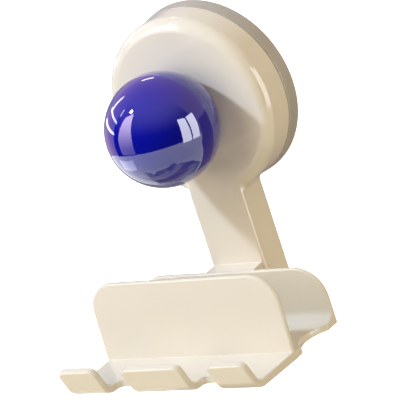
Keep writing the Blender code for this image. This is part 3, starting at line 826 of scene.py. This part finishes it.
# Works of the twist lock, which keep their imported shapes: ring, screws, collar, stud, washer,
# nut and its cap. Each gets the finish of its real material.
def plain_plastic(name, colour, roughness, grain):
    """Moulded or turned plastic with a faint grain in its gloss.

    The grain is drawn about 1 mm across, coarser than the real 0.1 mm, so that it shows.
    """
    made, tree, shader, place = start_material(name)
    shader.inputs["Base Color"].default_value = linear(colour)
    noise = add_node(
        tree,
        "ShaderNodeTexNoise",
        inputs={"Scale": 1 / grain, "Detail": 3.0},
        links={"Vector": place},
    )
    rough = add_node(
        tree,
        "ShaderNodeMapRange",
        inputs={"To Min": roughness - 0.06, "To Max": roughness + 0.06},
        links={"Value": noise.outputs["Fac"]},
    )
    tree.links.new(rough.outputs["Result"], shader.inputs["Roughness"])
    bump = add_node(
        tree,
        "ShaderNodeBump",
        inputs={"Strength": 0.15, "Distance": 0.02 * MM},
        links={"Height": noise.outputs["Fac"]},
    )
    tree.links.new(bump.outputs["Normal"], shader.inputs["Normal"])
    return made


def turned_metal(name, colour, roughness, spacing):
    """Machined metal with turning marks round the disc's axis.

    The marks are drawn 3 and 6 mm apart, far coarser than the real 0.1 mm, so that they show.
    A wave texture of scale 1 repeats every pi / 10 metres.
    """
    made, tree, shader, place = start_material(name)
    shader.inputs["Base Color"].default_value = linear(colour)
    shader.inputs["Metallic"].default_value = 1.0
    shader.inputs["Roughness"].default_value = roughness
    rings = add_node(
        tree,
        "ShaderNodeTexWave",
        settings={"wave_type": "BANDS", "bands_direction": "Y"},
        inputs={"Scale": math.pi / 10 / spacing, "Distortion": 0.3},
        links={"Vector": place},
    )
    bump = add_node(
        tree,
        "ShaderNodeBump",
        inputs={"Strength": 0.4, "Distance": 0.05 * MM},
        links={"Height": rings.outputs["Fac"]},
    )
    tree.links.new(bump.outputs["Normal"], shader.inputs["Normal"])
    return made


FINISHES = {
    "inner_abs": plain_plastic("off_white_moulded_abs", "dcd8cf", 0.45, 0.8 * MM),
    "black_nylon": plain_plastic("black_moulded_nylon", "1c1c1d", 0.45, 0.6 * MM),
    "white_acetal": plain_plastic("white_acetal", "efeeea", 0.30, 1.2 * MM),
    "zinc_plated_steel": turned_metal("zinc_plated_steel", "c9cacc", 0.24, 6.2832 * MM),
    "brass": turned_metal("turned_brass", "d0a757", 0.28, 3.1416 * MM),
}
for entry in frame["record"]["subparts"]:
    finish = FINISHES.get(entry["material_slot"])
    if finish:
        node = frame["nodes"][entry["node"]]
        node.data.materials.clear()
        node.data.materials.append(finish)

# Studio: a white floor well below the shelf, a key light from the upper left and soft fills.
# The ball mirrors a room of cards that show in reflections only: a dim wall in front, windows
# right and left, a curtain, a sunlit patch of floor, and shade behind, on the left and below.
FLOOR_HEIGHT = -0.45
FLOOR_SIZE = 6.0
ROOM_RADIUS = 1.2
KEY_DISTANCE = 0.9
FILL_DISTANCE = 2.0
SHADE_DISTANCE = 0.4
BALL_MIDDLE = Vector((0, -BALL_CENTRE, 0))
KEY_PLACE = BALL_MIDDLE + Vector((-0.466, -0.465, 0.753)) * KEY_DISTANCE
WINDOW_WHITE = "f4f4ff"
CURTAIN_WHITE = "ffe6f0"


def towards(azimuth, elevation, distance=1.0):
    """A direction from the ball: azimuth from straight in front round to the right."""
    around = math.radians(azimuth)
    above = math.radians(elevation)
    level = math.cos(above) * distance
    height = math.sin(above) * distance
    return Vector((math.sin(around) * level, -math.cos(around) * level, height))


def glow(name, colour, low, high, bottom, top):
    """Light of a card, which changes evenly from its bottom to its top."""
    made = bpy.data.materials.new(name)
    made.use_nodes = True
    tree = made.node_tree
    tree.nodes.clear()
    place = add_node(tree, "ShaderNodeTexCoord").outputs["Object"]
    height = add_node(tree, "ShaderNodeSeparateXYZ", links={"Vector": place})
    strength = add_node(
        tree,
        "ShaderNodeMapRange",
        settings={"interpolation_type": "SMOOTHSTEP"},
        inputs={"From Min": bottom, "From Max": top, "To Min": low, "To Max": high},
        links={"Value": height.outputs["Z"]},
    )
    light = add_node(
        tree,
        "ShaderNodeEmission",
        inputs={"Color": linear(colour)},
        links={"Strength": strength.outputs["Result"]},
    )
    output = add_node(tree, "ShaderNodeOutputMaterial")
    tree.links.new(light.outputs[0], output.inputs["Surface"])
    return made


def only_in_reflections(card):
    """Hide a card from all but mirror rays."""
    card.visible_camera = False
    card.visible_diffuse = False
    card.visible_transmission = False
    card.visible_volume_scatter = False
    card.visible_shadow = False


def add_card(name, corners, material, away=ROOM_RADIUS * 0.98):
    """A card whose corners are given as azimuth and elevation seen from the ball."""
    mesh = bpy.data.meshes.new(name)
    points = [BALL_MIDDLE + towards(*corner, away) for corner in corners]
    mesh.from_pydata(points, [], [range(len(points))])
    card = put_in_scene(name, mesh)
    mesh.materials.append(material)
    only_in_reflections(card)


def add_room(name, radius, cuts, material):
    """Dome round the shelf, for the ball to mirror. Each cut takes away what is past a plane."""
    bpy.ops.object.select_all(action="DESELECT")
    bpy.ops.mesh.primitive_uv_sphere_add(
        segments=64, ring_count=32, radius=radius, location=BALL_MIDDLE
    )
    room = bpy.context.object
    room.name = name
    bpy.ops.object.transform_apply(location=True, rotation=True, scale=True)
    bpy.ops.object.mode_set(mode="EDIT")
    for place, normal in cuts:
        bpy.ops.mesh.select_all(action="SELECT")
        bpy.ops.mesh.bisect(plane_co=place, plane_no=normal, clear_outer=True)
    bpy.ops.object.mode_set(mode="OBJECT")
    room.data.materials.append(material)
    only_in_reflections(room)


HORIZON = (BALL_MIDDLE + towards(0, -20, ROOM_RADIUS), (0, 0, -1))
FRONT_HALF = (BALL_MIDDLE, (-0.25, 1, 0.12))
dim_room = glow("dim_room", "ecd8f4", 0.03, 0.8, 0.1 * ROOM_RADIUS, 0.95 * ROOM_RADIUS)
add_room("room_front", ROOM_RADIUS, (FRONT_HALF, HORIZON), dim_room)
room_wall = glow("room_wall", "f2cce0", 0.85, 0.85, 0, 1)
add_room("room_back", ROOM_RADIUS * 1.05, (HORIZON,), room_wall)
pane = glow("window_pane", WINDOW_WHITE, 7.2, 8.4, -0.5, 0.4)
add_card("window_left_pane", ((73, 22), (89, 18), (89, -26), (69, -23)), pane)
add_card("window_right_pane", ((92, 18), (110, 17), (108, -23), (92, -26)), pane)
curtain = glow("curtain", CURTAIN_WHITE, 1.0, 7.5, -0.30, 0.85)
add_card("curtain", ((-33, 48), (-28, 5), (-29, -18), (-62, -18), (-62, 2), (-52, 36)), curtain)
frame_light = glow("window_frame", WINDOW_WHITE, 6.5, 6.5, 0, 1)
add_card("left_window_side", ((-106, 38), (-101, 36), (-100, 16), (-104, 14)), frame_light)
add_card("left_window_sill", ((-107, 16), (-72, 22), (-70, 19), (-107, 13)), frame_light)
add_card("left_window_bar", ((-70, 43), (-67, 41), (-67, 31), (-70, 32)), frame_light)
add_card("left_window_low", ((-112, 2), (-75, 7), (-74, 4), (-112, -1)), frame_light)
add_card("skylight", ((-150, 42), (-136, 41), (-135, 37), (-150, 38)), frame_light)
glint = glow("key_glint", WINDOW_WHITE, 40, 40, 0, 1)
add_card("key_glint", ((-49.3, 46), (-40.8, 46), (-40.8, 51.7), (-49.3, 51.7)), glint)
sunlit = glow("sunlit", WINDOW_WHITE, 3.2, 3.2, 0, 1)
add_card("sunlit_floor", ((-44, -27), (-84, -23), (-94, -32), (-58, -42)), sunlit, away=0.6)
shade = glow("shade_behind", "f2cce0", 0.3, 0.3, 0, 1)
behind = ((112, 2), (160, 4), (215, 2), (215, -60), (150, -60), (112, -34))
add_card("shade_behind", behind, shade, SHADE_DISTANCE)
dusk = glow("dusk", "e2daee", 0.42, 0.42, 0, 1)
left = ((-114, 12), (-145, 12), (-145, -60), (-114, -60))
add_card("shade_left", left, dusk, SHADE_DISTANCE)
below = [(azimuth, -60) for azimuth in range(-140, 180, 40)]
add_card("shade_below", below, dusk, SHADE_DISTANCE)


def straight_rays(tree):
    """1 for camera, mirror and glass rays, and 0 for the rays that only carry light."""
    path = add_node(tree, "ShaderNodeLightPath")
    seen = path.outputs["Is Camera Ray"]
    for kind in ("Is Glossy Ray", "Is Transmission Ray"):
        either = add_node(
            tree,
            "ShaderNodeMath",
            settings={"operation": "MAXIMUM"},
            links={0: seen, 1: path.outputs[kind]},
        )
        seen = either.outputs[0]
    return seen


world = bpy.data.worlds.new("white_studio")
bpy.context.scene.world = world
world.use_nodes = True
sky = world.node_tree
dark = sky.nodes["Background"]
dark.inputs["Color"].default_value = (1, 1, 1, 1)
dark.inputs["Strength"].default_value = 0.0
white = add_node(sky, "ShaderNodeBackground", inputs={"Color": (1, 1, 1, 1), "Strength": 1.0})
mixed = add_node(
    sky,
    "ShaderNodeMixShader",
    links={0: straight_rays(sky), 1: dark.outputs[0], 2: white.outputs[0]},
)
sky.links.new(mixed.outputs[0], sky.nodes["World Output"].inputs["Surface"])


# The key has the blue of daylight, and the fills have the warmth of light off walls and floor.
def add_lamp(name, kind, colour, energy, place, **settings):
    """A lamp that shines from its place towards the ball."""
    lamp = bpy.data.lights.new(name, kind)
    lamp.color = colour
    lamp.energy = energy
    for setting, value in settings.items():
        setattr(lamp, setting, value)
    holder = bpy.data.objects.new(name, lamp)
    bpy.context.scene.collection.objects.link(holder)
    holder.location = place
    holder.rotation_euler = (BALL_MIDDLE - place).to_track_quat("-Z", "Y").to_euler()
    return holder


def add_fill(name, colour, energy, azimuth, elevation, spread):
    """A fill from a wide patch of sky, which doesn't show in reflections."""
    place = BALL_MIDDLE + towards(azimuth, elevation, FILL_DISTANCE)
    fill = add_lamp(name, "SUN", colour, energy, place, angle=math.radians(spread))
    fill.visible_glossy = False


key = add_lamp("key", "AREA", (0.80, 1.0, 1.28), 5.7, KEY_PLACE, shape="DISK", size=0.09)
key.visible_glossy = False
add_fill("front_fill", (1.07, 1.0, 0.92), 1.48, -25, 25, 50)
add_fill("right_fill", (1.12, 1.0, 0.76), 1.80, 90, 20, 120)
add_fill("low_fill", (1.12, 1.0, 0.70), 1.55, -10, -60, 90)
add_fill("back_fill", (1.1, 1.0, 0.8), 1.2, 180, 15, 90)

# Floor: grey paper, plus a painted glow for camera and mirror rays that grows away from the shelf,
# so the far floor reads white while the shelf's shadow near it stays.
bpy.ops.object.select_all(action="DESELECT")
bpy.ops.mesh.primitive_plane_add(size=FLOOR_SIZE, location=(0, 0, FLOOR_HEIGHT))
floor = bpy.context.object
floor.name = "floor"
paper = bpy.data.materials.new("paper_floor_with_painted_glow")
paper.use_nodes = True
paper_tree = paper.node_tree
paper_shader = paper_tree.nodes["Principled BSDF"]
paper_shader.inputs["Base Color"].default_value = (0.85, 0.85, 0.85, 1)
paper_shader.inputs["Roughness"].default_value = 0.9
spot = add_node(paper_tree, "ShaderNodeTexCoord").outputs["Object"]
away = add_node(
    paper_tree, "ShaderNodeVectorMath", settings={"operation": "LENGTH"}, links={0: spot}
)
# Painted glow of the floor: 0.68 under the shelf, rising to 1.05 between 0.4 and 1.2 m away.
painted_floor_glow = add_node(
    paper_tree,
    "ShaderNodeMapRange",
    inputs={"From Min": 0.4, "From Max": 1.2, "To Min": 0.68, "To Max": 1.05},
    links={"Value": away.outputs["Value"]},
)
painted_floor_glow = add_node(
    paper_tree,
    "ShaderNodeMath",
    settings={"operation": "MULTIPLY"},
    links={0: painted_floor_glow.outputs["Result"], 1: straight_rays(paper_tree)},
)
paper_tree.links.new(painted_floor_glow.outputs[0], paper_shader.inputs["Emission Strength"])
paper_shader.inputs["Emission Color"].default_value = (1, 1, 1, 1)
floor.data.materials.append(paper)
floor.visible_shadow = False
floor.visible_diffuse = False

# Camera: 39 degrees to the right of straight on, 18 degrees up and rolled 18 degrees, as solved
# from the photo. The lens is long, so the shelf shows little perspective.
CAMERA_AZIMUTH = math.radians(38.96)
CAMERA_ELEVATION = math.radians(17.82)
CAMERA_ROLL = math.radians(18.26)
CAMERA_DISTANCE = 1.4919
FOCAL_PIXELS = 3678.0
FRAME_PIXELS = 400
AIM_PIXEL = (212.88, 90.56)
SENSOR = 36.0
AIM = Vector((0, -1.5 * MM, 0))


def add_camera():
    """Place the camera so that AIM, on the disc's axis, falls on its pixel in the photo."""
    back = Vector(
        (
            math.sin(CAMERA_AZIMUTH) * math.cos(CAMERA_ELEVATION),
            -math.cos(CAMERA_AZIMUTH) * math.cos(CAMERA_ELEVATION),
            math.sin(CAMERA_ELEVATION),
        )
    )
    level = Vector((math.cos(CAMERA_AZIMUTH), math.sin(CAMERA_AZIMUTH), 0))
    upright = back.cross(level)
    right = math.cos(CAMERA_ROLL) * level - math.sin(CAMERA_ROLL) * upright
    up = math.sin(CAMERA_ROLL) * level + math.cos(CAMERA_ROLL) * upright
    per_pixel = CAMERA_DISTANCE / FOCAL_PIXELS
    across = (AIM_PIXEL[0] - FRAME_PIXELS / 2) * per_pixel
    down = (AIM_PIXEL[1] - FRAME_PIXELS / 2) * per_pixel
    data = bpy.data.cameras.new("camera")
    data.sensor_width = SENSOR
    data.lens = FOCAL_PIXELS / FRAME_PIXELS * SENSOR
    data.clip_start = 0.05
    data.clip_end = 20
    camera = bpy.data.objects.new("camera", data)
    bpy.context.scene.collection.objects.link(camera)
    place = CAMERA_DISTANCE * back - across * right + down * up + AIM
    turn = Matrix((right, up, back)).transposed().to_4x4()
    camera.matrix_world = Matrix.Translation(place) @ turn
    bpy.context.scene.camera = camera


add_camera()
bpy.context.scene.view_settings.view_transform = "Standard"
